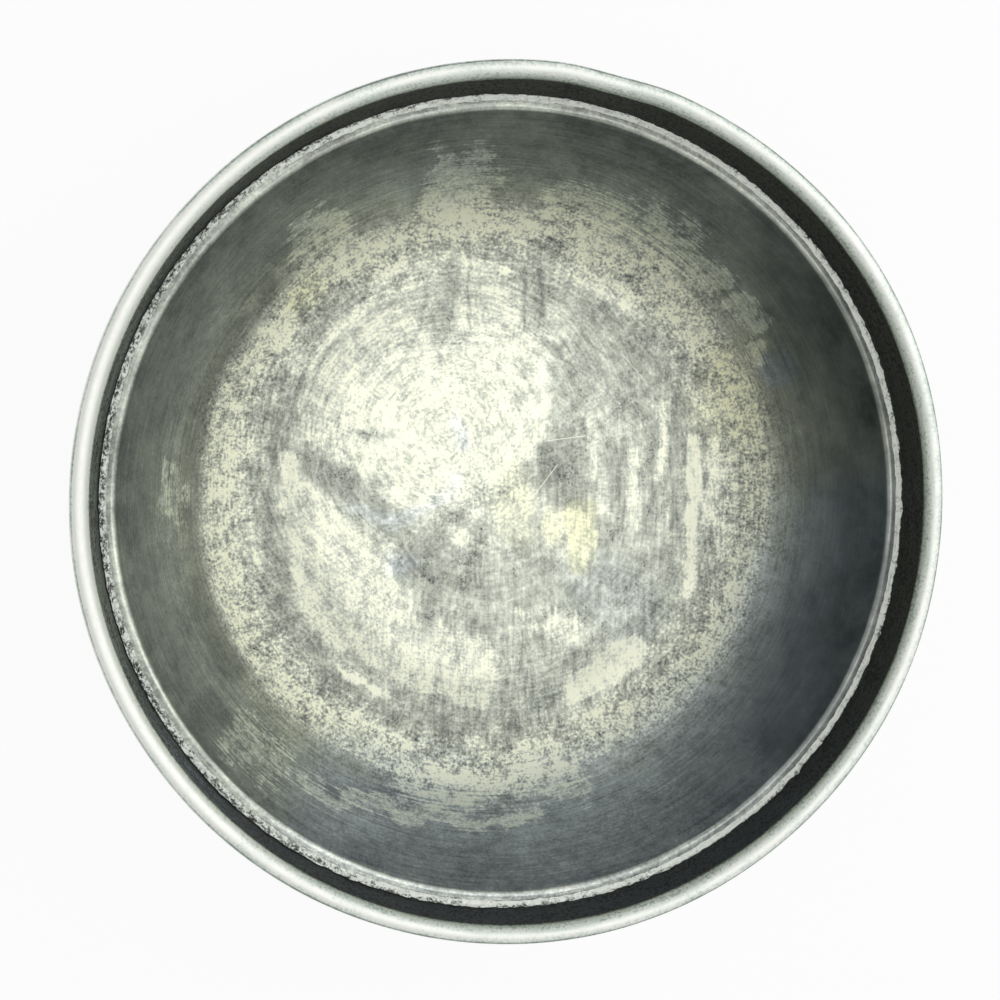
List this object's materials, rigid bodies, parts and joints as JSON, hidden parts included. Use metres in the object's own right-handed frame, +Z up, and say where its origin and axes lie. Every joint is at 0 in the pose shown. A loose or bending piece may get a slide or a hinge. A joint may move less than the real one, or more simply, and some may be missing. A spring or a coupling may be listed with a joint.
{
  "type": "mixing bowl",
  "caption": "Round tin-lined copper mixing bowl with a flat floor, steep wall, soldered collar with a lid ledge, and a rolled rim over a wire hoop.",
  "frame": {"origin": "middle of the standing face, on the bowl's axis", "axes": "+Z up along the bowl's axis"},
  "size_m": [0.28, 0.28, 0.084],
  "materials": {
    "copper": null,
    "tin": null,
    "solder": null,
    "iron": "drawn iron wire",
    "braze": "hard solder seam"
  },
  "bodies": {
    "root": {"bowl_pan": "copper", "collar_band": "copper", "collar_seam_braze": "braze", "rim_wire": "iron", "ledge_solder": "solder", "lap_solder": "solder", "pan_tin_lining": "tin", "collar_tin_lining": "tin"}
  },
  "joints": []
}
